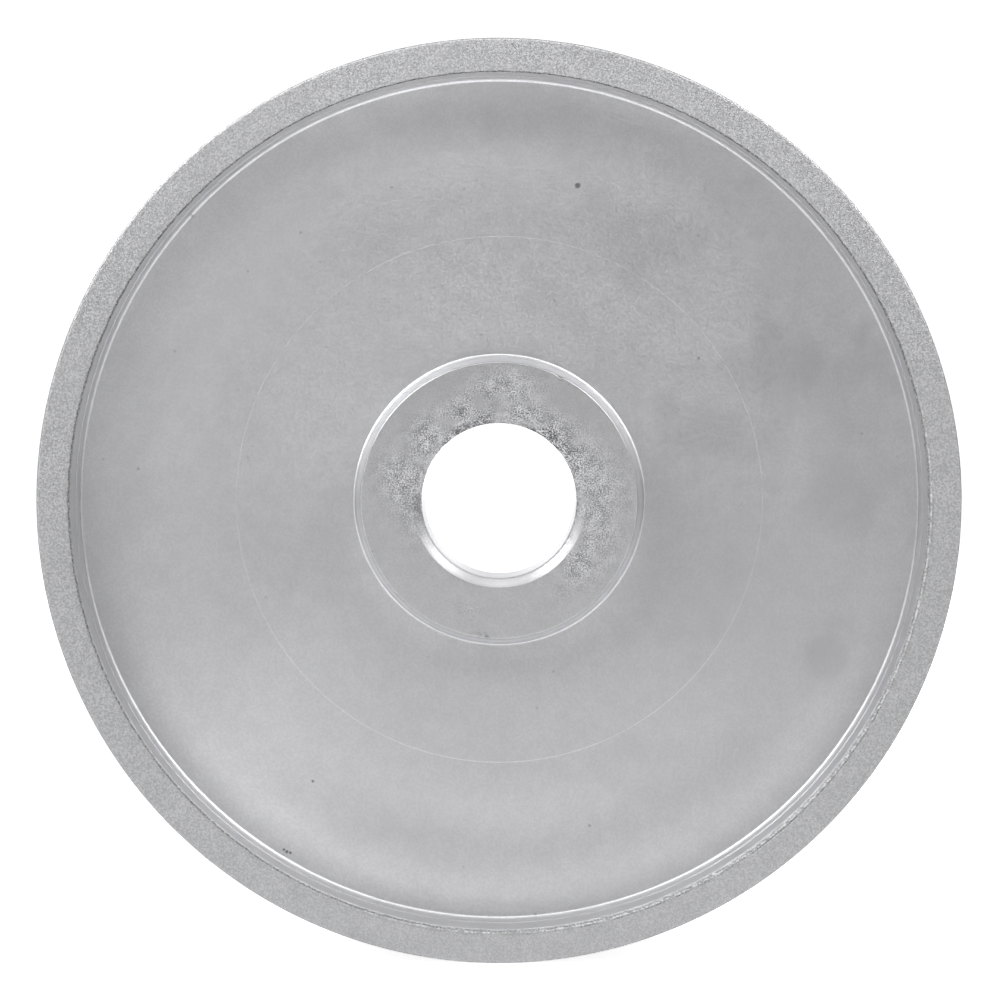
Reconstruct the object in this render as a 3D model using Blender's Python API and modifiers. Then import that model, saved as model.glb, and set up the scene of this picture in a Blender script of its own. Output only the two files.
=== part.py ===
"""A plated diamond grinding wheel for shaping stones, 150 mm across and 38 mm wide.

A turned hub with a 1 in bore carries a thin web disc, and the disc carries the rim hoop. Bands of
nickel and diamond grit cover the hoop's grinding face and both of its shoulders.

Units are metres, with +Z up. The wheel stands upright, its centre at the origin and its bore along
Y. The front side looks towards -Y, and the back side is the same.
"""

import math

import bpy

# Driving dimensions
WHEEL_RADIUS = 0.075
RIM_WIDTH = 0.038
RIM_INNER_RADIUS = 0.0698
GRIT_THICKNESS = 0.0004
GRIT_LIP = 0.0004
HUB_LENGTH = 0.025
BORE_RADIUS = 0.0127
BORE_CHAMFER = 0.0012
BOSS_TOP_RADIUS = 0.02275
BOSS_BASE_RADIUS = 0.0239
WEB_THICKNESS = 0.0058

# Small features
FIT_GAP = 0.0003
BOSS_EDGE_BREAK = 0.0003
HOOP_EDGE_BREAK = 0.0004
GRIT_EDGE_RADIUS = 0.00035
HUB_FILLET = 0.0004
RIM_FILLET = 0.0007

# How finely the turned shapes are divided
TURN_STEPS = 96
ARC_STEPS = 4
MERGE_DISTANCE = 0.00001
SHARP_ANGLE = math.radians(40)

# Rim sizes that follow from the ones above
GRIT_BUILD_UP = GRIT_THICKNESS + FIT_GAP
HOOP_OUTER_RADIUS = WHEEL_RADIUS - GRIT_BUILD_UP
HOOP_HALF_WIDTH = RIM_WIDTH / 2 - GRIT_BUILD_UP


def clear_scene():
    """Removes whatever the file starts with."""
    for item in list(bpy.data.objects):
        bpy.data.objects.remove(item, do_unlink=True)


def make_collection(name):
    """Makes the collection that holds the wheel's pieces."""
    collection = bpy.data.collections.new(name)
    bpy.context.scene.collection.children.link(collection)
    return collection


def make_material(name, colour, roughness, metallic):
    """Makes a plain metal finish."""
    material = bpy.data.materials.new(name)
    material.use_nodes = True
    shader = material.node_tree.nodes["Principled BSDF"]
    shader.inputs["Base Color"].default_value = (*colour, 1.0)
    shader.inputs["Roughness"].default_value = roughness
    shader.inputs["Metallic"].default_value = metallic
    return material


def arc(centre, radius, start_degrees, end_degrees):
    """Points along an arc in the (radius, height) plane, with both ends."""
    angles = [
        math.radians(start_degrees + (end_degrees - start_degrees) * step / ARC_STEPS)
        for step in range(ARC_STEPS + 1)
    ]
    return [
        (centre[0] + radius * math.cos(angle), centre[1] + radius * math.sin(angle))
        for angle in angles
    ]


def both_sides(outer_half, inner_half):
    """Closes an outline that is the same above and below the wheel's middle plane.

    Both halves are (radius, height) points above the plane and run downwards. The outline goes
    down the outer side and back up the inner side.
    """
    outer = outer_half + [(radius, -height) for radius, height in reversed(outer_half)]
    inner = inner_half + [(radius, -height) for radius, height in reversed(inner_half)]
    return outer + inner[::-1]


def turned_ring(name, outline, material, collection):
    """Turns a closed (radius, height) outline about the wheel's axis.

    The outline is drawn with the axis upright. The piece is then tipped forwards, so that its top
    becomes the wheel's front.
    """
    mesh = bpy.data.meshes.new(name)
    vertices = [(radius, 0.0, height) for radius, height in outline]
    edges = [(index, (index + 1) % len(outline)) for index in range(len(outline))]
    mesh.from_pydata(vertices, edges, [])
    mesh.materials.append(material)
    ring = bpy.data.objects.new(name, mesh)
    ring.rotation_euler = (math.radians(90), 0.0, 0.0)
    collection.objects.link(ring)

    screw = ring.modifiers.new("Turn", "SCREW")
    screw.axis = "Z"
    screw.angle = math.tau
    screw.steps = TURN_STEPS
    screw.render_steps = TURN_STEPS
    screw.use_merge_vertices = True
    screw.merge_threshold = MERGE_DISTANCE
    screw.use_smooth_shade = True
    smooth_by_angle(ring)
    return ring


def smooth_by_angle(ring):
    """Makes the turned shape its own mesh, smooth except at edges sharper than SHARP_ANGLE."""
    depsgraph = bpy.context.evaluated_depsgraph_get()
    turned = bpy.data.meshes.new_from_object(ring.evaluated_get(depsgraph))
    turned.name = ring.name
    ring.modifiers.clear()
    ring.data = turned
    turned.shade_smooth()
    turned.set_sharp_from_angle(angle=SHARP_ANGLE)


def make_hub(material, collection):
    """The turned hub: two tapered bosses with the web's seat between them, bored right through."""
    face = HUB_LENGTH / 2
    outer_half = [
        (BOSS_TOP_RADIUS - BOSS_EDGE_BREAK, face),
        (BOSS_TOP_RADIUS, face - BOSS_EDGE_BREAK),
        (BOSS_BASE_RADIUS, WEB_THICKNESS / 2),
    ]
    inner_half = [
        (BORE_RADIUS + BORE_CHAMFER, face),
        (BORE_RADIUS, face - BORE_CHAMFER),
    ]
    return turned_ring("hub", both_sides(outer_half, inner_half), material, collection)


def make_web_disc(material, collection):
    """The flat disc between hub and hoop, with a small fillet against each of them."""
    top = WEB_THICKNESS / 2
    outer_radius = RIM_INNER_RADIUS - FIT_GAP
    inner_radius = BOSS_BASE_RADIUS + FIT_GAP
    rim_centre = (outer_radius - RIM_FILLET, top + RIM_FILLET)
    hub_centre = (inner_radius + HUB_FILLET, top + HUB_FILLET)
    outer_half = arc(rim_centre, RIM_FILLET, 360, 270)
    inner_half = arc(hub_centre, HUB_FILLET, 180, 270)
    outline = both_sides(outer_half, inner_half)
    return turned_ring("web_disc", outline, material, collection)


def make_rim_hoop(material, collection):
    """The plain metal hoop under the grit, with its inner corners broken."""
    outer_half = [(HOOP_OUTER_RADIUS, HOOP_HALF_WIDTH)]
    inner_half = [
        (RIM_INNER_RADIUS + HOOP_EDGE_BREAK, HOOP_HALF_WIDTH),
        (RIM_INNER_RADIUS, HOOP_HALF_WIDTH - HOOP_EDGE_BREAK),
    ]
    outline = both_sides(outer_half, inner_half)
    return turned_ring("rim_hoop", outline, material, collection)


def make_grit_face(material, collection):
    """The band of nickel and diamond round the grinding face, rounded over at both edges."""
    centre = (WHEEL_RADIUS - GRIT_EDGE_RADIUS, RIM_WIDTH / 2 - GRIT_EDGE_RADIUS)
    outer_half = arc(centre, GRIT_EDGE_RADIUS, 90, 0)
    inner_half = [(WHEEL_RADIUS - GRIT_THICKNESS, RIM_WIDTH / 2)]
    outline = both_sides(outer_half, inner_half)
    return turned_ring("grit_face", outline, material, collection)


def make_grit_shoulder(name, side, material, collection):
    """The band of nickel and diamond on one side of the rim. side is 1 in front and -1 behind.

    The layer builds up past the hoop's inner corner, so it ends in a small lip over the recess.
    """
    faces = [side * RIM_WIDTH / 2, side * (RIM_WIDTH / 2 - GRIT_THICKNESS)]
    top, bottom = max(faces), min(faces)
    lip_radius = RIM_INNER_RADIUS - GRIT_LIP
    outline = [
        (HOOP_OUTER_RADIUS, top),
        (HOOP_OUTER_RADIUS, bottom),
        (lip_radius, bottom),
        (lip_radius, top),
    ]
    return turned_ring(name, outline, material, collection)


def main():
    """Builds the six pieces of the wheel."""
    clear_scene()
    wheel = make_collection("diamond_grinding_wheel")
    turned_metal = make_material("turned_metal", (0.42, 0.42, 0.43), 0.32, 1.0)
    satin_web = make_material("satin_web", (0.38, 0.38, 0.39), 0.38, 1.0)
    diamond_grit = make_material("diamond_grit", (0.40, 0.40, 0.40), 0.62, 0.8)

    make_hub(turned_metal, wheel)
    make_web_disc(satin_web, wheel)
    make_rim_hoop(turned_metal, wheel)
    make_grit_face(diamond_grit, wheel)
    make_grit_shoulder("front_grit_shoulder", 1, diamond_grit, wheel)
    make_grit_shoulder("back_grit_shoulder", -1, diamond_grit, wheel)


main()
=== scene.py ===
# %% [markdown]
# # A plated diamond grinding wheel
#
# This wheel shapes stones. A turned hub sits on the grinder's arbor, a thin web disc carries a
# wide rim hoop, and nickel plating holds diamond grit on the hoop's three outer faces. The fixed
# design model gives every size. This lesson adds the fine surfaces and finishes: turned marks, an
# etched hub face, a lightly stained web and thousands of grains.

# %% Load the fixed model and keep its box
import math

import bpy
import numpy as np
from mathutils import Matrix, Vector


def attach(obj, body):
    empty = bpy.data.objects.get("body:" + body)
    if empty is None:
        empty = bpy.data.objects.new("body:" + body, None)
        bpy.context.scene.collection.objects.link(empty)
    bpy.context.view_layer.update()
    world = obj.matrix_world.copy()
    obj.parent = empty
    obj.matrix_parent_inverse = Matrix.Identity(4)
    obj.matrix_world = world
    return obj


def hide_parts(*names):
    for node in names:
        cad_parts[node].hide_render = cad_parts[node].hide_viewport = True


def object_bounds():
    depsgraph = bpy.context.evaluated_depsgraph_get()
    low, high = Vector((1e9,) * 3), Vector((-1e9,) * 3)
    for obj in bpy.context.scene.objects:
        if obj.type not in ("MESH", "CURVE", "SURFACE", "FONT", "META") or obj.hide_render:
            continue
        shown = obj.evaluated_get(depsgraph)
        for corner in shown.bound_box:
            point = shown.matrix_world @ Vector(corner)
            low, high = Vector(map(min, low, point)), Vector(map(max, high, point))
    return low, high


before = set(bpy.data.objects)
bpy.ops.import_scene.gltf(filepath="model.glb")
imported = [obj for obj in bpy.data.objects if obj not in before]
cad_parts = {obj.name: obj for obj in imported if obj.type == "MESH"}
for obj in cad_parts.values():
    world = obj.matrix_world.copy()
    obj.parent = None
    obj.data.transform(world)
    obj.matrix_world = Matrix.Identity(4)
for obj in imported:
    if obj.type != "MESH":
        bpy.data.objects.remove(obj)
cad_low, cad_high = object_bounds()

MM = 0.001
print("design model, mm:", [round(side / MM, 2) for side in cad_high - cad_low])

# %% [markdown]
# ## Reading the sizes
#
# Each design piece was turned about the bore, which lies along Y. So its outline can be read from
# its mesh: every corner's distance from the axis and place along Y. Reading the sizes, instead of
# typing them again, keeps this surface model and the design model the same size.

# %% Measure the turned outlines


def outline_of(node):
    """The corners of a turned piece's outline: (distance from the axis, place along Y) in rows.

    The distance is the square root of x squared plus z squared.
    """
    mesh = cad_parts[node].data
    points = np.empty(len(mesh.vertices) * 3)
    mesh.vertices.foreach_get("co", points)
    x, y, z = points.reshape(-1, 3).T
    return np.unique(np.round(np.column_stack([np.hypot(x, z), y]), 5), axis=0)


hub_corners, web_corners = outline_of("hub"), outline_of("web_disc")
BORE, CHAMFER_OUT, _, BOSS_TOP, BOSS_BASE = np.unique(hub_corners[:, 0])
HUB_HALF = hub_corners[:, 1].max()
CHAMFER_DEPTH = CHAMFER_OUT - BORE
WEB_HALF = np.abs(web_corners[:, 1]).min()
WALL = outline_of("rim_hoop")[:, 0].min()
LIP = outline_of("front_grit_shoulder")[:, 0].min()
RIM, RIM_HALF = cad_high.z, cad_high.y
print("radii of bore, boss, wall and rim, mm:", np.round([BORE, BOSS_TOP, WALL, RIM], 5) / MM)

# %% [markdown]
# ## A ring from a cross-section
#
# Every surface here but the loose grains is a ring, so one function makes them all. A section is
# a closed loop of (radius, height) points, and carrying it round the axis gives a grid that closes
# on itself both ways, like a doughnut, with no pole and no seam. Radius and height are whole
# arrays, so a surface is roughened by adding noise to them before the mesh is made.

# %% Section helpers
NEAR_MIDDLE = 0.1 * MM


def runs(corners, steps):
    """Straight runs between corners, each in its own number of steps, without the last corner."""
    corners = np.array(corners)
    return np.concatenate([
        start + (end - start) * np.arange(count)[:, None] / count
        for start, end, count in zip(corners, corners[1:], steps)
    ])


def bend(centre, radius, start_degrees, end_degrees, steps):
    """Points along an arc of a section, without its end: centre plus radius times (cos, sin)."""
    angle = np.radians(start_degrees + (end_degrees - start_degrees) * np.arange(steps) / steps)
    return np.array(centre) + radius * np.column_stack([np.cos(angle), np.sin(angle)])


def mirrored_section(front_half):
    """Closes a section with its mirror image. It starts and ends near the wheel's middle plane."""
    return np.concatenate([front_half, front_half[::-1] * [1, -1]])


# %% Ring helpers


def spread_round(section, columns):
    """Radius and height grids: rows go round the section, and every column is a copy of it."""
    return np.repeat(section.T[:, :, None], columns, axis=2)


def angles(columns):
    """The angle of each column, from +X towards +Z."""
    return np.linspace(0, 2 * math.pi, columns, endpoint=False)


def place_round(angle, radius, height):
    """x is r cos(angle), z is r sin(angle), and y is minus the height, as the front faces -Y."""
    return np.stack([radius * np.cos(angle), -height, radius * np.sin(angle)], axis=-1)


def ring_points(radius, height):
    """Where each point of a ring's grids is."""
    return place_round(angles(radius.shape[1]), radius, height)


def mirrored_ring(front_half, columns):
    """The radius, height, angle and place grids of a ring that is the same in front and behind."""
    radius, height = spread_round(mirrored_section(front_half), columns)
    angle = np.broadcast_to(angles(columns), radius.shape)
    return radius, height, angle, ring_points(radius, height)


def mesh_piece(name, points, faces):
    """Makes an object from arrays of points and of equal-sided faces, and shades it smooth."""
    mesh = bpy.data.meshes.new(name)
    corners = faces.shape[1]
    mesh.vertices.add(len(points))
    mesh.vertices.foreach_set("co", points.astype(np.float32).ravel())
    mesh.loops.add(faces.size)
    mesh.loops.foreach_set("vertex_index", faces.astype(np.int32).ravel())
    mesh.polygons.add(len(faces))
    mesh.polygons.foreach_set("loop_start", np.arange(0, faces.size, corners, dtype=np.int32))
    mesh.update(calc_edges=True)
    mesh.shade_smooth()
    piece = bpy.data.objects.new(name, mesh)
    bpy.context.scene.collection.objects.link(piece)
    return piece


def outward(points, faces):
    """Turns the faces round if the shape is inside out: its signed volume is then below zero.

    The volume is a sixth of the sum of a . (b x c) over the triangles.
    """
    a, b, c, d = (points[faces[:, corner]] for corner in (0, 1, 2, -1))
    volume = np.sum(a * (np.cross(b, c) + np.cross(c, d)))
    return faces if volume > 0 else faces[:, ::-1]


def closed_ring(name, radius, height):
    """A ring whose last row joins its first, and whose last column joins its first."""
    rows, columns = radius.shape
    points = ring_points(radius, height).reshape(-1, 3)
    here = np.arange(rows * columns).reshape(rows, columns)
    below = np.roll(here, -1, axis=0)
    beside = [np.roll(below, -1, axis=1), np.roll(here, -1, axis=1)]
    faces = np.stack([here, below, *beside], axis=-1).reshape(-1, 4)
    piece = mesh_piece(name, points, outward(points, faces))
    print(f"{name}: {rows} x {columns} grid, {2 * len(faces)} triangles")
    return piece


def paint(piece, **layers):
    """Stores one number for each point in each layer, for a material to read as an attribute."""
    for name, values in layers.items():
        attribute = piece.data.attributes.new(name, "FLOAT", "POINT")
        attribute.data.foreach_set("value", np.ascontiguousarray(values, np.float32).ravel())


# %% [markdown]
# ## Noise worked out with numpy
#
# Rough surfaces need repeatable randomness that depends only on where a point is. Space is cut
# into cubes, and each corner gets a random number made by mixing its whole numbers. Soft noise
# blends the eight corners round a point. Grains put one random centre in each cube instead and
# measure how far the nearest one is, which gives the packed, pebbly look of grit.

# %% Noise helpers


def lattice_random(cells, seed, channel=0):
    """A number from 0 to 1 for each row of whole numbers, the same every time.

    The three numbers are multiplied, folded together, and stirred twice by shift and multiply.
    """
    keys = cells.astype(np.int64)
    mixed = keys[..., 0] * 73856093 ^ keys[..., 1] * 19349663 ^ keys[..., 2] * 83492791
    mixed = (mixed + seed * 40503 + channel * 9176) & 0xFFFFFFFF
    for _ in range(2):
        mixed = ((mixed ^ (mixed >> 16)) * 73244475) & 0xFFFFFFFF
    return (mixed ^ (mixed >> 16)) / 0xFFFFFFFF


def soft_noise(points, size, seed):
    """Smooth noise from -1 to 1 with features of a given size.

    Each cube corner's random number is weighted by 3t^2 - 2t^3 along each of the three axes.
    """
    place = points / size
    cell = np.floor(place)
    share = place - cell
    share = share * share * (3 - 2 * share)
    total = 0.0
    for offset in np.ndindex(2, 2, 2):
        weight = np.prod(np.where(offset, share, 1 - share), axis=-1)
        total = total + weight * lattice_random(cell + offset, seed)
    return 2 * total - 1


def layered_noise(points, size, seed, layers=3):
    """Soft noise plus finer and weaker copies of itself, each half the size and strength."""
    copies = [soft_noise(points, size / 2**k, seed + k) / 2**k for k in range(layers)]
    return sum(copies) / sum(1 / 2**k for k in range(layers))


def grains(points, size, seed):
    """Packed grains: 1 at a grain's middle, 0 where the nearest middle is a cube away."""
    place = points / size
    cell = np.floor(place)
    nearest = np.full(points.shape[:-1], 9.0)
    for offset in np.ndindex(3, 3, 3):
        cube = cell + np.array(offset) - 1
        middle = cube + np.stack([lattice_random(cube, seed, c) for c in range(3)], axis=-1)
        nearest = np.minimum(nearest, np.sum((place - middle) ** 2, axis=-1))
    return np.clip(1 - np.sqrt(nearest), 0, 1)


def smooth_step(value, low, high):
    """0 below low, 1 above high, and 3t^2 - 2t^3 between them."""
    share = np.clip((value - low) / (high - low), 0, 1)
    return share * share * (3 - 2 * share)


# %% [markdown]
# ## Marks in chosen places
#
# Stains, etching, and painted light and shade aren't spread evenly: each sits at a certain place
# on the wheel. A mark is given by the angle and the distance of its middle and by its size both
# ways, and it fades out like a bell. A short list of marks, summed, paints a whole face.

# %% Soft-edged marks


def soft_arc(angle, middle_degrees, half_degrees):
    """1 in the middle of an arc, fading as exp(-d^2), where d is the turn away in half sizes."""
    turn = np.angle(np.exp(1j * (angle - math.radians(middle_degrees))))
    return np.exp(-((turn / math.radians(half_degrees)) ** 2))


def soft_band(value, middle, half_width):
    """1 where the value is in the middle, fading as exp(-d^2) on both sides of it."""
    return np.exp(-(((value - middle) / half_width) ** 2))


def marks(angle, radius, listed):
    """Sums marks that are (strength, degrees, millimetres from the axis, half sizes of both)."""
    return sum(
        strength * soft_arc(angle, turn, half_turn) * soft_band(radius, out * MM, half_out * MM)
        for strength, turn, out, half_turn, half_out in listed
    )


def at_sides(angle):
    """1 straight out to the right and to the left of the axis, and 0 away from there."""
    return soft_arc(angle, 0, 13) + soft_arc(angle, 181, 13)


# %% [markdown]
# ## The hub
#
# The hub is one turned piece. Its bore has a chamfer at each end, its flat faces take the clamp,
# and its outside tapers down to the web. An acid bath before plating has bitten the flat faces in
# patches. The bite is real relief, so the face gets a fine grid and each point sinks by layered
# noise times a mask. The same mask is stored for the material, which darkens what is pitted.

# %% The hub's outline
HUB_COLUMNS = 520
FACE_RINGS = 48
EDGE_ROUND = 0.25 * MM
TAPER_FOOT = 0.32 * MM
MOUTH = CHAMFER_OUT + 0.30 * MM
MOUTH_BREAK = 0.04 * MM
THROAT_BREAK = 0.05 * MM


def hub_section():
    """Half the hub's outline: seat, taper, rounded edge, flat face, chamfer and bore."""
    foot = (BOSS_BASE, WEB_HALF + TAPER_FOOT)
    edge_centre = (BOSS_TOP - EDGE_ROUND, HUB_HALF - EDGE_ROUND)
    mouth = (MOUTH, HUB_HALF)
    mouth_edge = (MOUTH - MOUTH_BREAK, HUB_HALF - MOUTH_BREAK)
    throat = (BORE, HUB_HALF - CHAMFER_DEPTH)
    bore_start = (BORE, throat[1] - THROAT_BREAK)
    return np.concatenate([
        runs([(BOSS_BASE, NEAR_MIDDLE), foot, (BOSS_TOP, edge_centre[1])], (3, 24)),
        bend(edge_centre, EDGE_ROUND, 4, 90, 6),
        runs([
            (edge_centre[0], HUB_HALF), mouth, mouth_edge, throat, bore_start, (BORE, NEAR_MIDDLE)
        ], (FACE_RINGS, 2, 5, 1, 6)),
    ])


# %% Build the hub
ETCH_DEPTH = 0.035 * MM
TURNING_PITCH = 0.9 * MM
RIDGE_HEIGHT = 0.006 * MM
TOUCHING = 0.02 * MM
EDGE_ZONE = 0.6 * MM
ETCHED = [  # round the top of the bore, over the right side, and less on the left
    (0.95, 62, 13.6, 64, 3.4), (0.75, 118, 13.4, 42, 2.6), (0.6, 86, 19.4, 17, 3.2),
    (0.4, 110, 16.6, 28, 2.6), (0.5, 4, 17.6, 30, 4.4), (0.55, -38, 16.8, 20, 4.0),
    (0.65, 168, 17.6, 15, 3.6), (0.35, 140, 17.0, 12, 3.0), (0.5, 190, 14.2, 22, 2.6),
    (0.3, 255, 18.6, 7, 1.5),
]


def etching(angle, radius, height, points):
    """How deep the acid bit, from 0 to 1: marks on the flat faces, broken up by noise."""
    face_low = HUB_HALF - 1.5 * CHAMFER_DEPTH
    on_face = smooth_step(np.abs(height), face_low, HUB_HALF - CHAMFER_DEPTH)
    on_face = on_face * (radius < BOSS_TOP - EDGE_ROUND + TOUCHING)
    bitten = np.clip(marks(angle, radius, ETCHED), 0, 1) * on_face
    return bitten * smooth_step(layered_noise(points, 3.2 * MM, 5), -0.75, 0.1)


def build_hub():
    """The hub with its etched faces, turned taper and one small dent on the front edge."""
    radius, height, angle, points = mirrored_ring(hub_section(), HUB_COLUMNS)
    etch = etching(angle, radius, height, points)
    bite = 0.5 - 0.5 * layered_noise(points, 0.42 * MM, 11)
    height = height - np.sign(height) * etch * bite * ETCH_DEPTH

    on_taper = (radius > BOSS_TOP) & (np.abs(height) > WEB_HALF + TAPER_FOOT)
    ridges = np.cos(2 * math.pi * np.abs(height) / TURNING_PITCH)
    radius = radius + on_taper * RIDGE_HEIGHT * ridges
    on_edge = smooth_step(height, HUB_HALF - EDGE_ZONE, HUB_HALF)
    dent = on_edge * soft_arc(angle, 64, 1.3) * soft_band(radius, BOSS_TOP, 0.4 * MM)
    radius, height = radius - 0.18 * MM * dent, height - 0.14 * MM * dent

    scuff = on_edge * soft_arc(angle, 263, 4.2) * soft_band(radius, BOSS_TOP - 0.5 * MM, 0.45 * MM)
    scuff = scuff * smooth_step(soft_noise(points, 0.36 * MM, 31), -0.2, 0.3)
    in_bore = radius < BORE + TOUCHING
    on_chamfer = (radius < MOUTH - 0.5 * MOUTH_BREAK) & ~in_bore
    # Painted shade: the polished taper is painted darker at the left and right sides and in a thin
    # line near its foot.
    undercut = soft_band(radius, BOSS_BASE - 0.22 * MM, 0.1 * MM)
    ringed = (1 - 0.6 * undercut) * (1 - 0.5 * at_sides(angle))
    hub = closed_ring("turned_hub", radius, height)
    polish = on_taper * ringed + in_bore + 0.3 * on_chamfer * (1 - etch)
    buffed = in_bore * (1 - soft_arc(angle, 250, 55))
    paint(hub, polish=polish, buffed=buffed, etch=etch, dirt=np.clip(scuff + dent, 0, 1))
    return hub


hub = build_hub()

# %% [markdown]
# ## The web disc
#
# The web is a flat disc, but not a perfect one. It was faced in two passes that meet at a faint
# step, and it dishes by a few hundredths of a millimetre. Small hollow fillets blend it into the
# hub and the hoop and catch the light as bright rings, which painted highlights strengthen. The
# web is also painted lighter and darker in broad zones. The grid's rows crowd together at the step
# and in the fillets, and spread out over the plain flat between them.

# %% The web's outline
WEB_COLUMNS = 400
HUB_SEAM = 0.02 * MM
HUB_FILLET = 0.36 * MM
WALL_FILLET = 0.42 * MM
FILLET_START = 0.06 * MM
PASS_STEP_RADIUS = 43.7 * MM
PASS_STEP_ROOM = 0.18 * MM
NEAR_WALL = WALL - 0.1 * MM


def web_section():
    """Half the web's outline: rim seat, wall fillet, flat with its step, hub fillet, hub seat."""
    seat = BOSS_BASE + HUB_SEAM
    wall_centre = (NEAR_WALL - WALL_FILLET, WEB_HALF + WALL_FILLET)
    hub_centre = (seat + HUB_FILLET, WEB_HALF + HUB_FILLET)
    flat_edges = [
        wall_centre[0], wall_centre[0] - FILLET_START,
        PASS_STEP_RADIUS + PASS_STEP_ROOM, PASS_STEP_RADIUS - PASS_STEP_ROOM,
        hub_centre[0] + FILLET_START, hub_centre[0],
    ]
    flat = [(radius, WEB_HALF) for radius in flat_edges]
    return np.concatenate([
        runs([(NEAR_WALL, NEAR_MIDDLE), (NEAR_WALL, wall_centre[1])], [2]),
        bend(wall_centre, WALL_FILLET, 0, -90, 9),
        runs(flat, (1, 37, 12, 27, 1)),
        bend(hub_centre, HUB_FILLET, -90, -180, 8),
        runs([(seat, hub_centre[1]), (seat, NEAR_MIDDLE)], [2]),
    ])


# %% Stains of the web, and its painted light and shade
LEAN = [(0.75, 32, 44, 62, 30)]
ROUND_STAINS = [(0.6, (1, -26, 60.5, 3.6, 3.8)), (0.4, (1, 26, 53.3, 6.5, 6.2))]
SOFT_STAINS = [(0.3, 52, 44, 9, 7), (0.5, -22, 48, 22, 20)]
# Painted light and shade, as (strength, degrees, millimetres from the axis, half sizes of both):
# mostly lighter near the wall, over the top and round the bottom, darker by the hub at the sides,
# and a thin painted highlight below on the step.
ZONES = [
    (0.50, 118, 61.5, 55, 9), (0.16, 75, 58, 32, 5), (0.36, 255, 66, 55, 5),
    (0.15, 225, 62, 18, 16), (0.15, 330, 66, 32, 5), (0.13, 270, 52, 32, 5),
    (-0.12, 0, 34, 32, 16), (-0.09, 195, 40, 18, 16), (-0.15, 135, 66, 32, 5),
    (0.40, 266, PASS_STEP_RADIUS / MM, 86, 0.075),
]


def stain_map(points, radius, angle):
    """Cloudy stains, from 0 to 1: broad clouds, heavier to the upper right, and round spots."""
    clouds = smooth_step(layered_noise(points, 11 * MM, 41, 4), -0.1, 0.42)
    stains = 0.75 * clouds * (0.25 + marks(angle, radius, LEAN))
    for strength, mark in ROUND_STAINS:
        stains = stains + strength * smooth_step(marks(angle, radius, [mark]), 0.2, 0.6)
    return np.clip(stains + marks(angle, radius, SOFT_STAINS), 0, 1)


def web_tone(angle, radius):
    """Painted light and shade: how much lighter or darker each place is, as a share of the plain
    web's grey.

    It is painted lighter towards the wall, over the top and round the bottom, and darker by the
    hub to the right and to the left. The hub's fillet gets a painted highlight, dimmer at the
    sides, the wall's fillet is painted lighter over the top and darker at the sides, and the step
    gets a thin painted highlight below.
    """
    fillet = 1 - smooth_step(radius, BOSS_BASE + 0.5 * HUB_FILLET, BOSS_BASE + HUB_FILLET)
    wall_fillet = smooth_step(radius, NEAR_WALL - WALL_FILLET, NEAR_WALL - 0.7 * WALL_FILLET)
    sides = at_sides(angle)
    wall_shine = 0.4 * soft_band(np.degrees(angle), 90, 60) - 0.3 * sides
    hub_shine = 0.6 - 0.5 * sides
    return 1 + marks(angle, radius, ZONES) + hub_shine * fillet + wall_shine * wall_fillet


# %% Build the web disc
PASS_STEP_WIDTH = 0.07 * MM
PASS_STEP_HEIGHT = 0.012 * MM
DISH = 0.035 * MM


def build_web():
    """The web with its step, slight dish, painted stains, and painted light and shade."""
    radius, height, angle, points = mirrored_ring(web_section(), WEB_COLUMNS)
    past_step = radius - PASS_STEP_RADIUS
    recessed = 1 - smooth_step(past_step, -PASS_STEP_WIDTH, PASS_STEP_WIDTH)
    on_flat = smooth_step(radius, BOSS_BASE + 0.7 * MM, 27 * MM)
    on_flat = on_flat * (1 - smooth_step(radius, 66 * MM, NEAR_WALL - WALL_FILLET))
    lift = DISH * soft_noise(points, 30 * MM, 61) - PASS_STEP_HEIGHT * recessed
    height = height + np.sign(height) * on_flat * lift
    web = closed_ring("web_plate", radius, height)
    paint(web, stain=stain_map(points, radius, angle), tone=web_tone(angle, radius))
    return web


web = build_web()

# %% [markdown]
# ## The rim hoop
#
# Under the grit the rim is a plain turned hoop, and only its inner wall shows. A boring tool left
# fine ridges there, and one pass stopped short and left a small step partway up. The ridges are a
# few microns high, too low to see as shape but enough to break up a reflection.

# %% Build the rim hoop
HOOP_COLUMNS = 480
WALL_STEP_AT = 8.0 * MM
WALL_STEP_RISE = 0.08 * MM
TOP_BREAK = 0.2 * MM
UNDER_GRIT = 0.45 * MM
FAR_WALL = WALL + 0.05 * MM


def hoop_section():
    """Half the hoop's outline: under the grinding face, under the shoulder, then down the wall."""
    out, top = RIM - UNDER_GRIT, RIM_HALF - UNDER_GRIT
    step_top, step_foot = WALL_STEP_AT + WALL_STEP_RISE, WALL_STEP_AT - WALL_STEP_RISE
    return runs([
        (out, NEAR_MIDDLE), (out, top), (FAR_WALL + TOP_BREAK, top), (FAR_WALL, top - TOP_BREAK),
        (FAR_WALL, step_top), (NEAR_WALL, step_foot), (NEAR_WALL, WEB_HALF),
        (NEAR_WALL, NEAR_MIDDLE),
    ], (4, 3, 2, 44, 4, 24, 3))


def build_hoop():
    """The hoop, with fine boring ridges on its inner wall."""
    radius, height, _, points = mirrored_ring(hoop_section(), HOOP_COLUMNS)
    on_wall = radius < FAR_WALL + TOUCHING
    across = np.stack([height, 0 * height, 0 * height], axis=-1)
    ridges = 0.6 * soft_noise(across, 0.32 * MM, 71) + 0.4 * soft_noise(points, 6 * MM, 72)
    return closed_ring("rim_hoop_body", radius + RIDGE_HEIGHT * ridges * on_wall, height)


hoop = build_hoop()

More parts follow.
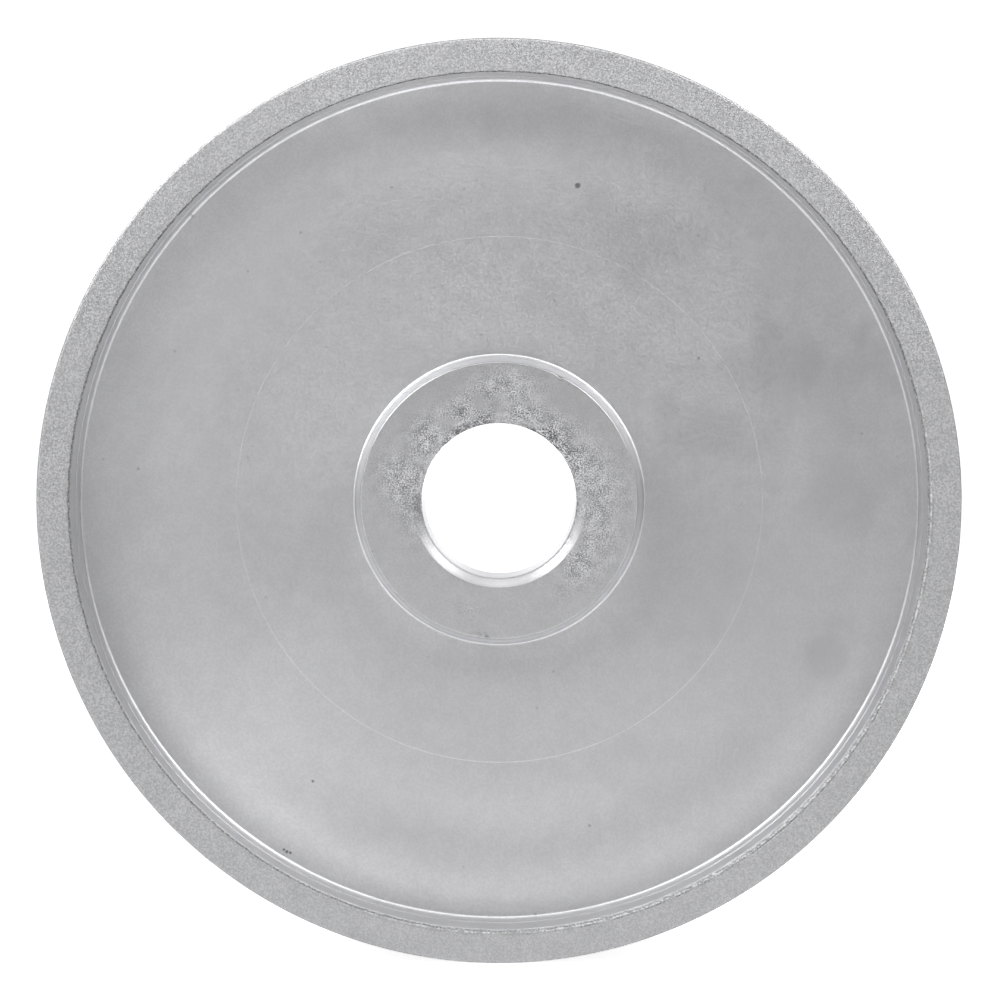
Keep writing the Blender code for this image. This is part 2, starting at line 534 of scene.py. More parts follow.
# %% [markdown]
# ## The grit layer
#
# Diamond grit is laid on the bare rim and nickel is plated up round it until each grain is held by
# about half its height. The skin is pebbled and about four tenths of a millimetre thick. Each band
# is a closed ring: its outer rows follow the finished surface, pushed in and out by the grains,
# and its inner rows lie against the hoop. The noise reads each point's place in space, so the
# bands match where they meet.

# %% Grit on a surface
BAND_COLUMNS = 2000
GRAIN = 0.24 * MM
GRAIN_RELIEF = 0.06 * MM
SKIN_SINK = 0.06 * MM


def roughened(radius, height, across, along, amount):
    """Pushes points along their outward direction by packed grains of two sizes.

    The skin is sunk first, so the tallest grains only rise back to the true size.
    """
    points = ring_points(radius, height)
    relief = 0.7 * grains(points, GRAIN, 3) + 0.3 * grains(points, 0.6 * GRAIN, 4)
    push = amount * (GRAIN_RELIEF * relief - SKIN_SINK)
    return radius + push * across, height + push * along


def grit_tone(angle):
    """Painted light and shade: lighter top and bottom, darker at the sides, a little lighter upper
    right.
    """
    return 1.02 - 0.055 * np.cos(2 * angle) + 0.02 * np.cos(angle) + 0.02 * np.sin(angle)


# %% A shoulder's outline
CORNER_ROUND = 0.40 * MM
LIP_ROUND = 0.50 * MM
GROOVE_RADIUS = LIP + 0.92 * MM
GROOVE_ROOM = 0.20 * MM
MEET_AT = RIM_HALF - 1.2 * MM


def outward_directions(points):
    """Unit vectors square to a run of points: each step's direction turned by a quarter."""
    before, after = np.roll(points, 1, axis=0), np.roll(points, -1, axis=0)
    before[0], after[-1] = points[0], points[-1]
    direction = (after - before) @ np.array([[0, -1], [1, 0]])
    return direction / np.linalg.norm(direction, axis=1, keepdims=True)


def shoulder_section():
    """A shoulder band's outline, with the outward direction of each of its points.

    It starts on the grinding face, rounds the outer corner, crosses the shoulder, rounds the lip
    and comes back along the hoop. The last rows point nowhere, so they stay smooth.
    """
    corner = (RIM - CORNER_ROUND, RIM_HALF - CORNER_ROUND)
    lip = (LIP + LIP_ROUND, RIM_HALF - LIP_ROUND)
    inside, under = RIM - UNDER_GRIT, RIM_HALF - UNDER_GRIT
    fine_from = (GROOVE_RADIUS + GROOVE_ROOM, RIM_HALF)
    outer = np.concatenate([
        runs([(RIM, MEET_AT), (RIM, corner[1])], [2]),
        bend(corner, CORNER_ROUND, 0, 90, 4),
        runs([(corner[0], RIM_HALF), fine_from, (lip[0], RIM_HALF)], (19, 6)),
        bend(lip, LIP_ROUND, 90, 190, 10),
    ])
    inner = np.concatenate([
        runs([(WALL + 0.2 * MM, under), (inside, under), (inside, MEET_AT)], (2, 2)),
        [(inside, MEET_AT)],
    ])
    directions = np.concatenate([outward_directions(outer), 0 * inner])
    return np.concatenate([outer, inner]), directions


# %% Build the two shoulder bands
GROOVE_WIDTH = 0.12 * MM
GROOVE_DEPTH = 0.10 * MM
BEAD_RADIUS = LIP + 0.60 * MM
LIP_LINE = 0.17 * MM
PLAIN_GLINT = 0.45


def lip_groove(radius, angle, circle, wander):
    """A broken groove outside the lip at the lower right, from 0 to 1, on a wandering circle."""
    groove = soft_band(radius, GROOVE_RADIUS + 0.05 * MM * wander, GROOVE_WIDTH)
    broken = smooth_step(soft_noise(circle, 1.2 * MM, 23), -0.5, 0.3)
    return soft_arc(angle, -48, 52) * groove * broken


def lip_colours(radius, height, angle, circle, wander):
    """Painted shade and painted highlight beside the lip, both from 0 up.

    The painted shade is a dark line on a ragged circle that lies further out below, weaker at the
    lower right. The painted highlight is a flash on the lip's edge below, and a band of bright
    grains at the lower right; that band's dark grains add to the painted shade.
    """
    lower = np.clip(1 - np.sin(angle), 0, 1)
    clean, below = soft_arc(angle, -48, 52), soft_arc(angle, 265, 80)
    ragged = 0.6 * wander + 0.6 * soft_noise(circle, 0.45 * MM, 29)
    dark_at = LIP + (0.02 + 0.30 * lower + 0.12 * ragged) * MM
    grime = (1 - 0.4 * clean) * soft_band(radius, dark_at, LIP_LINE)
    flash = lattice_random(np.floor(ring_points(radius, height) / GRAIN), 27)
    shine = below * (0.6 + flash) * (1 - smooth_step(radius - LIP, 0.05 * MM, 0.12 * MM))
    bead = clean * soft_band(radius, BEAD_RADIUS, LIP_LINE)
    shine = shine + 1.8 * bead * smooth_step(flash, 0.35, 0.75)
    return np.maximum(grime, 0.5 * bead * smooth_step(flash, 0.30, 0.15)), shine


def build_shoulder(name, side):
    """One shoulder band with its ragged lip. side is 1 in front and -1 behind."""
    section, directions = shoulder_section()
    radius, height = spread_round(section, BAND_COLUMNS)
    across, along = spread_round(directions, BAND_COLUMNS)
    rough_side = np.hypot(across, along)
    angle = angles(BAND_COLUMNS)
    circle = RIM * np.stack([np.cos(angle), 0 * angle + side, np.sin(angle)], axis=-1)
    wander = layered_noise(circle, 0.8 * MM, 21)
    near_lip = rough_side * (1 - smooth_step(radius, LIP + 0.4 * MM, LIP + 1.0 * MM))
    groove = rough_side * lip_groove(radius, angle, circle, wander)
    height = height - GROOVE_DEPTH * groove
    grime, shine = lip_colours(radius, height, angle, circle, wander)
    radius = radius + 0.06 * MM * wander * near_lip
    radius, height = roughened(radius, height, across, along, 1 + 1.4 * near_lip)
    band = closed_ring(name, radius, side * height)
    glint = np.clip(PLAIN_GLINT + 0.8 * rough_side * shine, 0, 1)
    # Painted shade: a dark ragged line along the lip and in the groove outside it. Painted
    # highlight: a flash on the lip's lower edge and bright grains at the lower right.
    paint(band, seam=np.clip(groove + rough_side * grime, 0, 1), glint=glint)
    angle = np.broadcast_to(angle, radius.shape)
    # Painted light and shade round the wheel, and less grain contrast at the bottom.
    paint(band, tone=grit_tone(angle), calm=soft_arc(angle, 270, 50))
    return band


front_band = build_shoulder("front_shoulder_grit", 1)
back_band = build_shoulder("back_shoulder_grit", -1)

# %% Build the grinding face
FACE_ROWS = 45
FACE_TONE = 0.80


def build_face_band():
    """The band round the grinding face: a rough outer side and a smooth inner one."""
    inside = RIM - UNDER_GRIT
    outer = np.column_stack([np.full(FACE_ROWS, RIM), np.linspace(-MEET_AT, MEET_AT, FACE_ROWS)])
    inner = np.array([[inside, MEET_AT], [inside, 0.0], [inside, -MEET_AT]])
    radius, height = spread_round(np.concatenate([outer, inner]), BAND_COLUMNS)
    across = np.zeros_like(radius)
    across[:FACE_ROWS] = 1
    radius, height = roughened(radius, height, across, 0 * across, 1.0)
    band = closed_ring("grinding_face_grit", radius, height)
    angle = np.broadcast_to(angles(BAND_COLUMNS), radius.shape)
    # Painted light and shade round the wheel, on a darker grinding face.
    paint(band, tone=FACE_TONE * grit_tone(angle))
    paint(band, glint=np.full_like(angle, PLAIN_GLINT), worn=np.ones_like(angle))
    return band


face_band = build_face_band()

# %% [markdown]
# ## Loose diamonds
#
# On a close look the skin is not a smooth pebbled sheet: sharp crystals stand out of it and flash
# as the wheel turns. Each one here is eight-sided with flat facets, stretched and turned at
# random. One mesh holds thousands, made as arrays: six corner directions times random sizes,
# turned, and moved to their places on the skin.

# %% Scatter the crystals
CRYSTAL_HALF = 0.105 * MM
CRYSTAL_COUNT = 24000
CRYSTAL_CORNERS = np.array(
    [[1, 0, 0], [-1, 0, 0], [0, 1, 0], [0, -1, 0], [0, 0, 1], [0, 0, -1]], float
)
CRYSTAL_FACES = np.array(
    [[0, 2, 4], [2, 1, 4], [1, 3, 4], [3, 0, 4], [2, 0, 5], [1, 2, 5], [3, 1, 5], [0, 3, 5]]
)


def turned_at_random(vectors, random):
    """Turns each row of vectors v by a random quaternion (w, q): v + 2 q x (q x v + w v)."""
    turns = random.normal(size=(len(vectors), 1, 4))
    turns = turns / np.linalg.norm(turns, axis=-1, keepdims=True)
    w, q = turns[..., :1], turns[..., 1:]
    return vectors + 2 * np.cross(q, np.cross(q, vectors) + w * vectors)


def scatter_crystals(name, angle, radius, height, random, worn=0.0):
    """A crystal at each (angle, radius, height): corners times size, turned, then moved."""
    count = len(angle)
    sizes = CRYSTAL_HALF * random.uniform(0.62, 1.0, (count, 1))
    sizes = sizes * random.uniform(0.75, 1.0, (count, 3))
    corners = turned_at_random(CRYSTAL_CORNERS * sizes[:, None, :], random)
    middle = place_round(angle, radius, height)
    points = (corners + middle[:, None, :]).reshape(-1, 3)
    first = np.arange(count)[:, None, None] * len(CRYSTAL_CORNERS)
    faces = (CRYSTAL_FACES + first).reshape(-1, 3)
    piece = mesh_piece(name, points, outward(points, faces))
    piece.data.shade_flat()
    glint = random.uniform(0, 1, count)
    # Painted light and shade round the wheel; the grinding face's crystals are darker, like their
    # face.
    tone = grit_tone(angle) * (1 - worn * (1 - FACE_TONE))
    looks = {"glint": glint, "tone": tone, "worn": np.full(count, worn)}
    paint(piece, **{look: np.repeat(v, len(CRYSTAL_CORNERS)) for look, v in looks.items()})
    print(f"{name}: {count} crystals, {len(faces)} triangles")
    return piece


def shoulder_crystals(name, side, seed):
    """Crystals spread evenly over a shoulder, round its outer corner and along its ragged lip."""
    random = np.random.default_rng(seed)
    angle = random.uniform(0, 2 * math.pi, CRYSTAL_COUNT)
    share = random.uniform(0, 1, CRYSTAL_COUNT)
    width, quarter = RIM - LIP, 0.5 * math.pi
    along = share * (width + 0.5 * quarter * CORNER_ROUND)
    turn = np.clip((along - (width - CORNER_ROUND)) / CORNER_ROUND, 0, quarter)
    sunk_round = CORNER_ROUND - CRYSTAL_HALF
    on_corner = RIM - CORNER_ROUND + sunk_round * np.sin(turn)
    radius = np.where(turn > 0, on_corner, LIP + CRYSTAL_HALF + along)
    height = RIM_HALF - CRYSTAL_HALF - sunk_round * (1 - np.cos(turn))
    on_lip = radius < LIP + LIP_ROUND
    height = height - on_lip * random.uniform(0, 0.35 * MM, CRYSTAL_COUNT)
    return scatter_crystals(name, angle, radius, side * height, random)


def face_crystals(name, low, high, seed):
    """Crystals spread over a stretch of the grinding face, from one height to another."""
    random = np.random.default_rng(seed)
    angle = random.uniform(0, 2 * math.pi, CRYSTAL_COUNT)
    height = random.uniform(low, high, CRYSTAL_COUNT)
    radius = np.full(CRYSTAL_COUNT, RIM - CRYSTAL_HALF)
    return scatter_crystals(name, angle, radius, height, random, worn=1.0)


crystals = [
    shoulder_crystals("front_diamonds", 1, 101),
    shoulder_crystals("back_diamonds", -1, 102),
    face_crystals("face_diamonds_front", 0, MEET_AT, 103),
    face_crystals("face_diamonds_back", -MEET_AT, 0, 104),
]

# %% [markdown]
# ## Node helpers
#
# A material is a small chain of nodes. A few short functions keep the chains readable: one adds a
# node and fills its inputs with numbers or links, and the others do a piece of arithmetic, ease
# one range into another, or make a noise pattern.

# %% Add nodes in a line


def add(tree, kind, inputs=None, **options):
    """Adds a node, sets its options, and fills inputs with numbers, colours or links."""
    node = tree.nodes.new(kind)
    node.location = (180 * (len(tree.nodes) % 12), -260 * (len(tree.nodes) // 12))
    for option, value in options.items():
        setattr(node, option, value)
    for socket, value in (inputs or {}).items():
        if isinstance(value, bpy.types.NodeSocket):
            tree.links.new(value, node.inputs[socket])
        else:
            node.inputs[socket].default_value = value
    return node


def calc(tree, operation, *values):
    """One Math node: operation is DIVIDE, SQRT and so on."""
    return add(tree, "ShaderNodeMath", dict(enumerate(values)), operation=operation).outputs[0]


def times(tree, first, second):
    """One value times another."""
    return calc(tree, "MULTIPLY", first, second)


def plus(tree, base, value, share=1.0):
    """A base plus a share of another value."""
    return calc(tree, "MULTIPLY_ADD", value, share, base)


def ease(tree, value, low, high, start=0.0, end=1.0):
    """Takes low..high to start..end with soft ends, as smooth_step does."""
    inputs = {"Value": value, "From Min": low, "From Max": high, "To Min": start, "To Max": end}
    kind = "ShaderNodeMapRange"
    return add(tree, kind, inputs, interpolation_type="SMOOTHSTEP").outputs["Result"]


def object_place(tree):
    """Where a point is on the object, in metres."""
    return add(tree, "ShaderNodeTexCoord").outputs["Object"]


def noise(tree, place, size, detail=2.0, roughness=0.5):
    """A noise pattern with features of a given size in metres, which a link may give."""
    scale = calc(tree, "DIVIDE", 1.0, size)
    inputs = {"Vector": place, "Scale": scale, "Detail": detail, "Roughness": roughness}
    return add(tree, "ShaderNodeTexNoise", inputs).outputs["Fac"]


# %% Node groups


def new_group(name, numbers, outputs):
    """An empty node group. numbers gives its inputs' defaults, outputs names its outputs."""
    tree = bpy.data.node_groups.new(name, "ShaderNodeTree")
    kind = "NodeSocketFloat"
    for label, value in numbers.items():
        socket = tree.interface.new_socket(label, in_out="INPUT", socket_type=kind)
        socket.default_value = value
    for label in outputs:
        tree.interface.new_socket(label, in_out="OUTPUT", socket_type=kind)
    given, out = tree.nodes.new("NodeGroupInput"), tree.nodes.new("NodeGroupOutput")
    return tree, given.outputs, out.inputs


def place_group(tree, group, numbers):
    """Puts a group into a material, with the material's own numbers, and returns its outputs."""
    return add(tree, "ShaderNodeGroup", numbers, node_tree=group).outputs


# %% [markdown]
# ## Effects shared by the finishes
#
# All three finishes are metal that has been turned, etched and plated, so they share effects. Each
# is a node group with named inputs, built once and placed in every material that needs it. The
# patterns read Object coordinates, which are metres here, so a size typed into a group is a real
# size. The axis lies along Y, so distances from it come from X and Z.

# %% Turned lines and fine grain


def make_turned_lines():
    """Lines left by a cutting tool: 1-D noise of the distance from the axis, or along it.

    Along is 0 on a flat face, where lines follow the distance, and 1 on a wall, where they follow
    the height. Broken fades the lines in and out in patches.
    """
    numbers = {"Pitch": 0.0003, "Along": 0.0, "Broken": 0.5}
    tree, given, out = new_group("turned_lines", numbers, ["Lines"])
    place = object_place(tree)
    x, y, z = add(tree, "ShaderNodeSeparateXYZ", {"Vector": place}).outputs
    radius = calc(tree, "SQRT", plus(tree, times(tree, x, x), z, z))
    across = times(tree, radius, plus(tree, 1.0, given["Along"], -1.0))
    count = calc(tree, "DIVIDE", plus(tree, across, y, given["Along"]), given["Pitch"])
    inputs = {"W": count, "Scale": 1.0, "Detail": 3.0}
    lines = add(tree, "ShaderNodeTexNoise", inputs, noise_dimensions="1D").outputs["Fac"]
    patches = ease(tree, noise(tree, place, 0.014), 0.35, 0.65)
    fade = plus(tree, 1.0, times(tree, given["Broken"], patches), -1.0)
    tree.links.new(plus(tree, 0.5, plus(tree, lines, -0.5), fade), out["Lines"])
    return tree


def make_fine_grain():
    """Satin grain: noise at the given size, and a mottle of patches about eleven times larger."""
    tree, given, out = new_group("fine_grain", {"Size": 0.0003}, ["Grain", "Mottle"])
    place = object_place(tree)
    tree.links.new(noise(tree, place, given["Size"]), out["Grain"])
    wide = calc(tree, "DIVIDE", given["Size"], 0.09)
    tree.links.new(noise(tree, place, wide, 3.0), out["Mottle"])
    return tree


turned_lines, fine_grain = make_turned_lines(), make_fine_grain()

# %% Pits, bright specks and scratches


def make_pits():
    """Sparse round pits and bright specks.

    A Voronoi pattern gives each cell a middle and a random colour. A pit is drawn round the middle
    only where the colour's red is under Share, so that share of the cells has one.
    """
    numbers = {"Cell": 0.002, "Share": 0.1}
    tree, given, out = new_group("pits_and_specks", numbers, ["Pits", "Specks"])
    scale = calc(tree, "DIVIDE", 1.0, given["Cell"])
    inputs = {"Vector": object_place(tree), "Scale": scale}
    cells = add(tree, "ShaderNodeTexVoronoi", inputs).outputs
    red, green, blue = add(tree, "ShaderNodeSeparateColor", {"Color": cells["Color"]}).outputs
    dot = ease(tree, cells["Distance"], 0.04, 0.13, 1.0, 0.0)
    strength = plus(tree, 0.35, blue, 0.65)
    for part, label in ((red, "Pits"), (green, "Specks")):
        chosen = times(tree, dot, calc(tree, "LESS_THAN", part, given["Share"]))
        tree.links.new(times(tree, chosen, strength), out[label])
    return tree


def make_scratches():
    """Hairline handling scratches: thin level lines of noise stretched along one direction."""
    numbers = {"Size": 0.01, "Turn": 0.6}
    tree, given, out = new_group("hairline_scratches", numbers, ["Scratches"])
    place = object_place(tree)
    turn = add(tree, "ShaderNodeCombineXYZ", {"Y": given["Turn"]}).outputs["Vector"]
    inputs = {"Vector": place, "Rotation": turn, "Scale": (1.0, 1.0, 0.12)}
    turned = add(tree, "ShaderNodeMapping", inputs).outputs["Vector"]
    level = noise(tree, turned, given["Size"], 1.0)
    offset = calc(tree, "ABSOLUTE", plus(tree, level, -0.5))
    line = ease(tree, offset, 0.0, 0.006, 1.0, 0.0)
    where = ease(tree, noise(tree, place, 0.012, 1.0), 0.58, 0.72)
    tree.links.new(times(tree, line, where), out["Scratches"])
    return tree


pits_and_specks, hairline_scratches = make_pits(), make_scratches()

# %% [markdown]
# ## The three finishes
#
# Plated nickel over aluminium is a pale grey metal with a faint blue cast. It is fully metallic,
# so what it shows is mostly a blurred picture of the room. That makes roughness and bump matter
# more than colour: the bump tips tiny areas towards brighter or darker parts of the room, which is
# how real grain and tool lines become visible.

# %% Metal material


def metal(name):
    """A metallic material, its node tree, its shader's inputs and a reader of attributes."""
    material = bpy.data.materials.new(name)
    material.use_nodes = True
    tree = material.node_tree
    sockets = tree.nodes["Principled BSDF"].inputs
    sockets["Metallic"].default_value = 1.0

    def attribute(label):
        return add(tree, "ShaderNodeAttribute", attribute_name=label).outputs["Fac"]

    return material, tree, sockets, attribute


def grey(value, blue=1.02):
    """A nickel grey of a given lightness, slightly blue."""
    return (value, value, value * blue, 1.0)


def tint(tree, under, over, amount):
    """Mixes a colour over another by an amount."""
    return add(tree, "ShaderNodeMix", {0: amount, 6: under, 7: over}, data_type="RGBA").outputs[2]


def mottled(tree, grain, light, dark):
    """Two close greys in the grain's soft patches."""
    return tint(tree, grey(light), grey(dark), ease(tree, grain["Mottle"], 0.35, 0.65))


def coats(tree, colour, listed):
    """Lays coats over a colour, one after another: each is (colour, mask, strength)."""
    for coat, mask, strength in listed:
        colour = tint(tree, colour, coat, times(tree, mask, strength))
    return colour


def toned(tree, colour, tone):
    """A colour made lighter or darker by painted light and shade: each part times the factor."""
    inputs = {0: colour, "Scale": tone}
    return add(tree, "ShaderNodeVectorMath", inputs, operation="SCALE").outputs[0]


def bump(tree, height, depth):
    """Turns a height pattern into a bent normal. depth is the pattern's height in metres."""
    return add(tree, "ShaderNodeBump", {"Height": height, "Distance": depth}).outputs["Normal"]


def finish_metal(tree, sockets, colour, rough, normal):
    """Links the three things that change over the surface."""
    tree.links.new(colour, sockets["Base Color"])
    tree.links.new(rough, sockets["Roughness"])
    tree.links.new(normal, sockets["Normal"])


# %% Turned finish for the hub and the hoop


def make_turned_metal():
    """Hub and hoop: tool lines, etched speckle, painted sparkle and shade, dark scuff and dent
    marks, fine grain.
    """
    material, tree, sockets, attribute = metal("turned_metal")
    face_lines = place_group(tree, turned_lines, {"Pitch": 0.00035, "Along": 0.0, "Broken": 0.8})
    wall_lines = place_group(tree, turned_lines, {"Pitch": 0.0005, "Along": 1.0, "Broken": 0.2})
    grain = place_group(tree, fine_grain, {"Size": 0.00032})
    pits = place_group(tree, pits_and_specks, {"Cell": 0.0016, "Share": 0.12})
    place = object_place(tree)

    etch, polish = attribute("etch"), attribute("polish")
    blotch = plus(tree, noise(tree, place, 0.0018), -0.5)
    limit = plus(tree, noise(tree, place, 0.00024, 2.0, 0.6), blotch, 0.35)
    bitten = times(tree, ease(tree, limit, 0.50, 0.55), etch)
    # Painted sparkle: white specks in the etched patches stand for glints.
    sparkle = times(tree, ease(tree, limit, 0.45, 0.40), etch)
    fine = ease(tree, noise(tree, place, 0.00034, 1.0), 0.35, 0.65)
    tool_mark = times(tree, ease(tree, wall_lines["Lines"], 0.52, 0.66), polish)
    # Painted shade is part of the polish mask: less polished grey at the sides and by the taper's
    # foot.
    colour = coats(tree, mottled(tree, grain, 0.615, 0.585), [
        (grey(0.46), fine, 0.36), (grey(0.92), polish, 1.0), (grey(0.52), tool_mark, 0.6),
        (grey(0.44, 1.03), etch, 0.6), (grey(0.10), bitten, 0.95), (grey(1.0), sparkle, 0.75),
        (grey(0.16), attribute("dirt"), 0.75), (grey(0.25), pits["Pits"], 0.6),
    ])

    rough = ease(tree, grain["Grain"], 0.3, 0.7, 0.35, 0.45)
    rough = plus(tree, plus(tree, rough, etch, 0.12), attribute("buffed"), -0.2)
    lines = plus(tree, face_lines["Lines"], wall_lines["Lines"])
    relief = plus(tree, plus(tree, grain["Grain"], lines, 0.5), bitten, -1.5)
    finish_metal(tree, sockets, colour, rough, bump(tree, relief, 0.000012))
    return material


turned_metal = make_turned_metal()

# %% Satin finish for the web
STAIN = (0.43, 0.422, 0.452, 1.0)
DARK_DOTS = [  # angle in degrees, distance from the axis and size in millimetres
    (76, 53.7, 0.62), (-123.5, 56.2, 0.3), (-120.6, 68.3, 0.3), (-121.1, 68.45, 0.34),
    (-121.6, 68.4, 0.28),
]


def round_dot(tree, place, angle_degrees, radius, size):
    """A round mark, 1 inside and 0 outside, at an angle and a distance from the axis in front."""
    angle = math.radians(angle_degrees)
    middle = (radius * math.cos(angle), -WEB_HALF, radius * math.sin(angle))
    gap = add(tree, "ShaderNodeVectorMath", {0: place, 1: middle}, operation="DISTANCE")
    return ease(tree, gap.outputs["Value"], 0.5 * size, size, 1.0, 0.0)


def make_satin_web():
    """Web: satin grain, faint tool lines, violet-grey stains, painted light and shade, pits,
    specks, scratches.
    """
    material, tree, sockets, attribute = metal("satin_web")
    lines = place_group(tree, turned_lines, {"Pitch": 0.0004, "Along": 0.0, "Broken": 0.7})
    grain = place_group(tree, fine_grain, {"Size": 0.00030})
    pits = place_group(tree, pits_and_specks, {"Cell": 0.0030, "Share": 0.10})["Pits"]
    dust = place_group(tree, pits_and_specks, {"Cell": 0.0011, "Share": 0.06})["Specks"]
    scratches = place_group(tree, hairline_scratches, {"Size": 0.004, "Turn": 0.9})["Scratches"]
    place = object_place(tree)

    fine = ease(tree, noise(tree, place, 0.00034, 1.0), 0.35, 0.65)
    colour = coats(tree, mottled(tree, grain, 0.625, 0.602), [
        (grey(0.44), fine, 0.24), (STAIN, attribute("stain"), 0.55),
    ])
    # Painted light and shade: the web's colour is made lighter or darker place by place.
    colour = toned(tree, colour, attribute("tone"))
    dots = [
        (grey(0.12), round_dot(tree, place, angle, radius * MM, size * MM), 0.75)
        for angle, radius, size in DARK_DOTS
    ]
    colour = coats(tree, colour, [
        (grey(0.18), pits, 0.55), *dots, (grey(0.86), dust, 0.5), (grey(0.76), scratches, 0.25),
    ])

    rough = ease(tree, grain["Grain"], 0.3, 0.7, 0.41, 0.51)
    relief = plus(tree, plus(tree, grain["Grain"], lines["Lines"], 0.4), pits, -1.0)
    finish_metal(tree, sockets, colour, rough, bump(tree, relief, 0.000010))
    return material


satin_web = make_satin_web()

# %% Diamond grit


def make_diamond_grit():
    """Grit: packed grains as bump and colour, crystals that differ in brightness, painted lip
    light and shade.
    """
    material, tree, sockets, attribute = metal("diamond_grit")
    place = object_place(tree)
    grain = place_group(tree, fine_grain, {"Size": 0.00034})
    inputs = {"Vector": place, "Scale": 1 / GRAIN}
    pebbles = add(tree, "ShaderNodeTexVoronoi", inputs).outputs["Distance"]
    hollow = ease(tree, pebbles, 0.30, 0.80)
    contrast = plus(tree, 1.0, attribute("calm"), -0.5)
    fine = times(tree, ease(tree, noise(tree, place, 0.00032, 1.0), 0.40, 0.60), contrast)
    glint = attribute("glint")
    jagged = ease(tree, noise(tree, place, 0.00030, 1.0), 0.38, 0.56, 0.35, 1.0)
    seam = times(tree, attribute("seam"), jagged)
    # Painted shade: the hollows between the pebbles are painted darker.
    colour = coats(tree, mottled(tree, grain, 0.60, 0.57), [
        (grey(0.34), hollow, 0.35), (grey(0.28), fine, 0.5),
        # Bright and dark grains: random brightness of the crystals, and painted highlight along
        # the lip.
        (grey(1.0), ease(tree, glint, 0.5, 1.0), 0.65),
        (grey(0.22), ease(tree, glint, 0.0, 0.4, 1.0, 0.0), 0.5),
    ])
    # Painted light and shade: the grit's colour is made lighter or darker round the wheel.
    colour = toned(tree, colour, attribute("tone"))
    # Painted shade: a dark ragged line along the lip and in the groove.
    colour = coats(tree, colour, [(grey(0.08), seam, 0.95)])

    rough = ease(tree, grain["Grain"], 0.3, 0.7, 0.44, 0.58)
    rough = plus(tree, rough, attribute("worn"), 0.14)
    relief = plus(tree, times(tree, grain["Grain"], 0.6), hollow, -1.0)
    finish_metal(tree, sockets, colour, rough, bump(tree, relief, 0.00002))
    return material


diamond_grit = make_diamond_grit()

# %% [markdown]
# ## Fitting the pieces to the design model
#
# Each new piece rides on the wheel's one body and stands in for the design pieces that it covers.
# Nothing turns on its own: the arbor turns the whole wheel.

# %% Put materials and slots on, and replace the design pieces
FITTINGS = [
    (hub, turned_metal, "turned_metal", ["hub"]),
    (web, satin_web, "satin_web", ["web_disc"]),
    (hoop, turned_metal, "turned_metal", ["rim_hoop"]),
    (face_band, diamond_grit, "diamond_grit", ["grit_face"]),
    (front_band, diamond_grit, "diamond_grit", ["front_grit_shoulder"]),
    (back_band, diamond_grit, "diamond_grit", ["back_grit_shoulder"]),
    *[(piece, diamond_grit, "diamond_grit", []) for piece in crystals],
]
for piece, material, slot, nodes in FITTINGS:
    piece.data.materials.append(material)
    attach(piece, "root")
    if nodes:
        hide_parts(*nodes)

# %% [markdown]
# ## Studio
#
# The wheel stands on its rim on a plain pale floor. Two broad soft panels hang well above it, to
# the left and to the right, and smaller ones fill in overhead and at the left. The sides stay
# dimmer, and that is what gives a turned piece its shape. A weaker pair hangs behind the wheel, so
# that it looks well lit from the back too.

# %% Floor and room
FLOOR_SIZE = 8.0
FLOOR_GLOW = 0.92
SEEN_WHITE = 1.1
WHITE = (1, 1, 1, 1)
ROOM_LIGHT = 0.05
BACKDROP_LIGHT = 1.05


def make_floor():
    """A square of pale floor under the rim, whose little glow keeps it an even near-white.

    Far behind the wheel the floor is as bright as the backdrop, also in what the metal reflects.
    """
    square = np.array([(-1, -1, 0), (1, -1, 0), (1, 1, 0), (-1, 1, 0)]) * FLOOR_SIZE / 2
    floor = mesh_piece("studio_floor", square + [0, 0, cad_low.z], np.array([[0, 1, 2, 3]]))
    material = bpy.data.materials.new("studio_floor")
    material.use_nodes = True
    tree = material.node_tree
    sockets = tree.nodes["Principled BSDF"].inputs
    sockets["Base Color"].default_value = grey(0.85, 1.0)
    sockets["Roughness"].default_value = 0.9
    sockets["Emission Color"].default_value = WHITE
    straight = add(tree, "ShaderNodeLightPath").outputs["Is Camera Ray"]
    place = object_place(tree)
    distance = add(tree, "ShaderNodeVectorMath", {0: place}, operation="LENGTH").outputs["Value"]
    glow = times(tree, straight, ease(tree, distance, 0.1, 0.6, FLOOR_GLOW, BACKDROP_LIGHT))
    away = add(tree, "ShaderNodeSeparateXYZ", {"Vector": place}).outputs["Y"]
    far = ease(tree, away, 0.4, 1.0, 0.0, BACKDROP_LIGHT)
    tree.links.new(calc(tree, "MAXIMUM", glow, far), sockets["Emission Strength"])
    floor.data.materials.append(material)


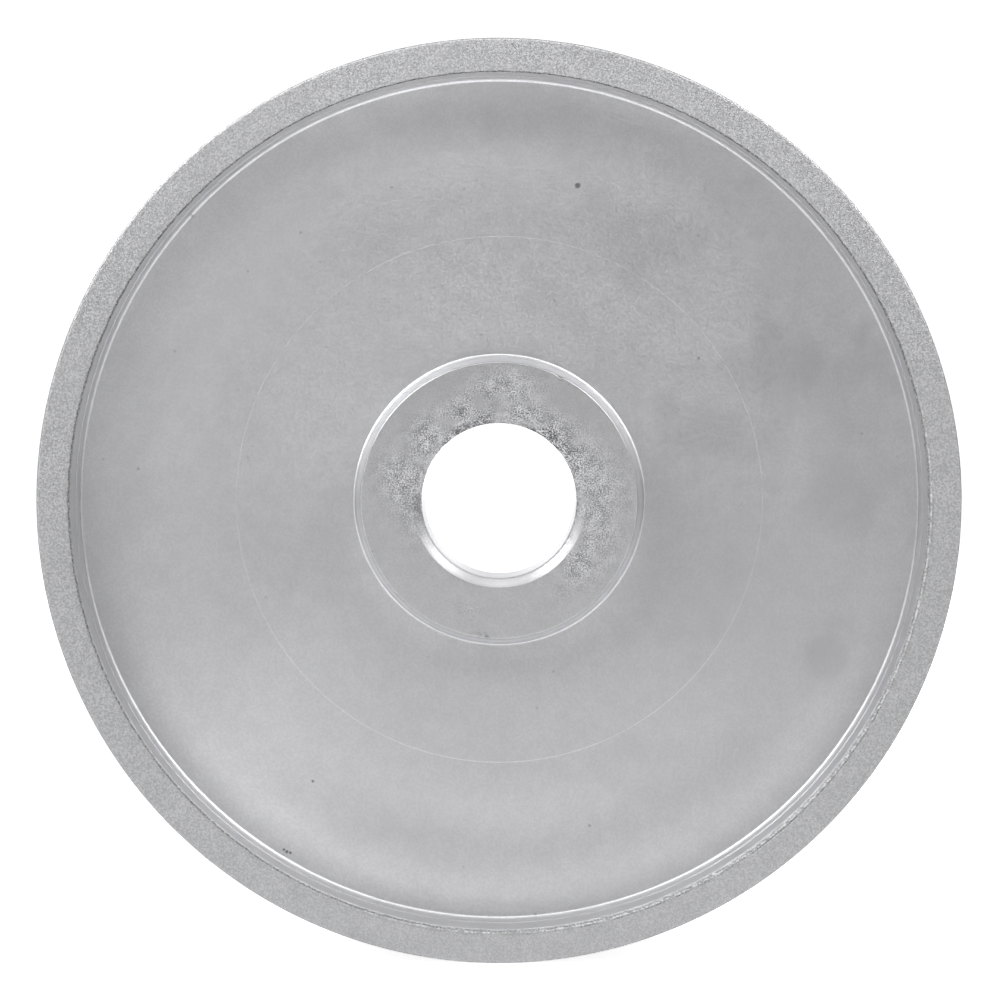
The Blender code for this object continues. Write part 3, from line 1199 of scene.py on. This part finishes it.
def make_room():
    """White where the camera looks straight at it, and dim in what the metal reflects.

    Only a backdrop straight behind the wheel, where the direction's Y nears 1, is bright in both.
    """
    world = bpy.data.worlds.new("studio_room")
    world.use_nodes = True
    tree = world.node_tree
    tree.nodes.clear()
    white = add(tree, "ShaderNodeBackground", {"Color": WHITE, "Strength": SEEN_WHITE})
    direction = add(tree, "ShaderNodeTexCoord").outputs["Generated"]
    back = add(tree, "ShaderNodeSeparateXYZ", {"Vector": direction}).outputs["Y"]
    glow = ease(tree, back, 0.80, 0.97, ROOM_LIGHT, BACKDROP_LIGHT)
    dim = add(tree, "ShaderNodeBackground", {"Color": WHITE, "Strength": glow})
    straight = add(tree, "ShaderNodeLightPath").outputs["Is Camera Ray"]
    inputs = {0: straight, 1: dim.outputs[0], 2: white.outputs[0]}
    mix = add(tree, "ShaderNodeMixShader", inputs)
    add(tree, "ShaderNodeOutputWorld", {"Surface": mix.outputs[0]})
    bpy.context.scene.world = world


make_floor()
make_room()

# %% Soft panels
PANEL_DISTANCE = 1.5
PANEL_ACROSS = 0.9


def soft_panel(name, tilt, turn, power):
    """A round area light that faces the wheel and that the camera can't see.

    It hangs tilt degrees away from straight in front of the wheel, towards turn, which counts from
    the right over the top. So it lies along (sin tilt cos turn, -cos tilt, sin tilt sin turn).
    """
    tilt, turn = math.radians(tilt), math.radians(turn)
    toward = Vector((
        math.sin(tilt) * math.cos(turn), -math.cos(tilt), math.sin(tilt) * math.sin(turn)
    ))
    data = bpy.data.lights.new(name, "AREA")
    data.shape, data.size, data.energy = "DISK", PANEL_ACROSS, power
    light = bpy.data.objects.new(name, data)
    light.location = toward * PANEL_DISTANCE
    light.rotation_euler = (-toward).to_track_quat("-Z", "Y").to_euler()
    light.visible_camera = False
    bpy.context.scene.collection.objects.link(light)


PANELS = [  # name, tilt and turn in degrees, power in watts
    ("above_left", 55, 135, 14.6), ("above_right", 55, 45, 11.8), ("above", 55, 90, 3.1),
    ("left_side", 55, 175, 1.6), ("overhead", 85, 90, 2.0), ("overhead_left", 85, 135, 1.0),
    ("behind_left", 125, 135, 9.0), ("behind_right", 125, 45, 8.0),
]
for panel in PANELS:
    soft_panel(*panel)

# %% [markdown]
# ## Camera
#
# The wheel is seen almost square on, from a little above the axis and a little to the right, with
# a long lens. The image is square, so the lens alone sets how much of it the wheel fills.

# %% Camera
scene = bpy.context.scene
scene.view_settings.view_transform = "Standard"
CAMERA_PLACE = Vector((0.0027, -0.6375, 0.0115))
AIM = Vector((0.0002, 0.0, -0.0002))
camera_data = bpy.data.cameras.new("camera")
camera_data.lens, camera_data.sensor_width = 137.4, 36.0
camera = bpy.data.objects.new("camera", camera_data)
camera.location = CAMERA_PLACE
camera.rotation_euler = (AIM - CAMERA_PLACE).to_track_quat("-Z", "Y").to_euler()
scene.collection.objects.link(camera)
scene.camera = camera
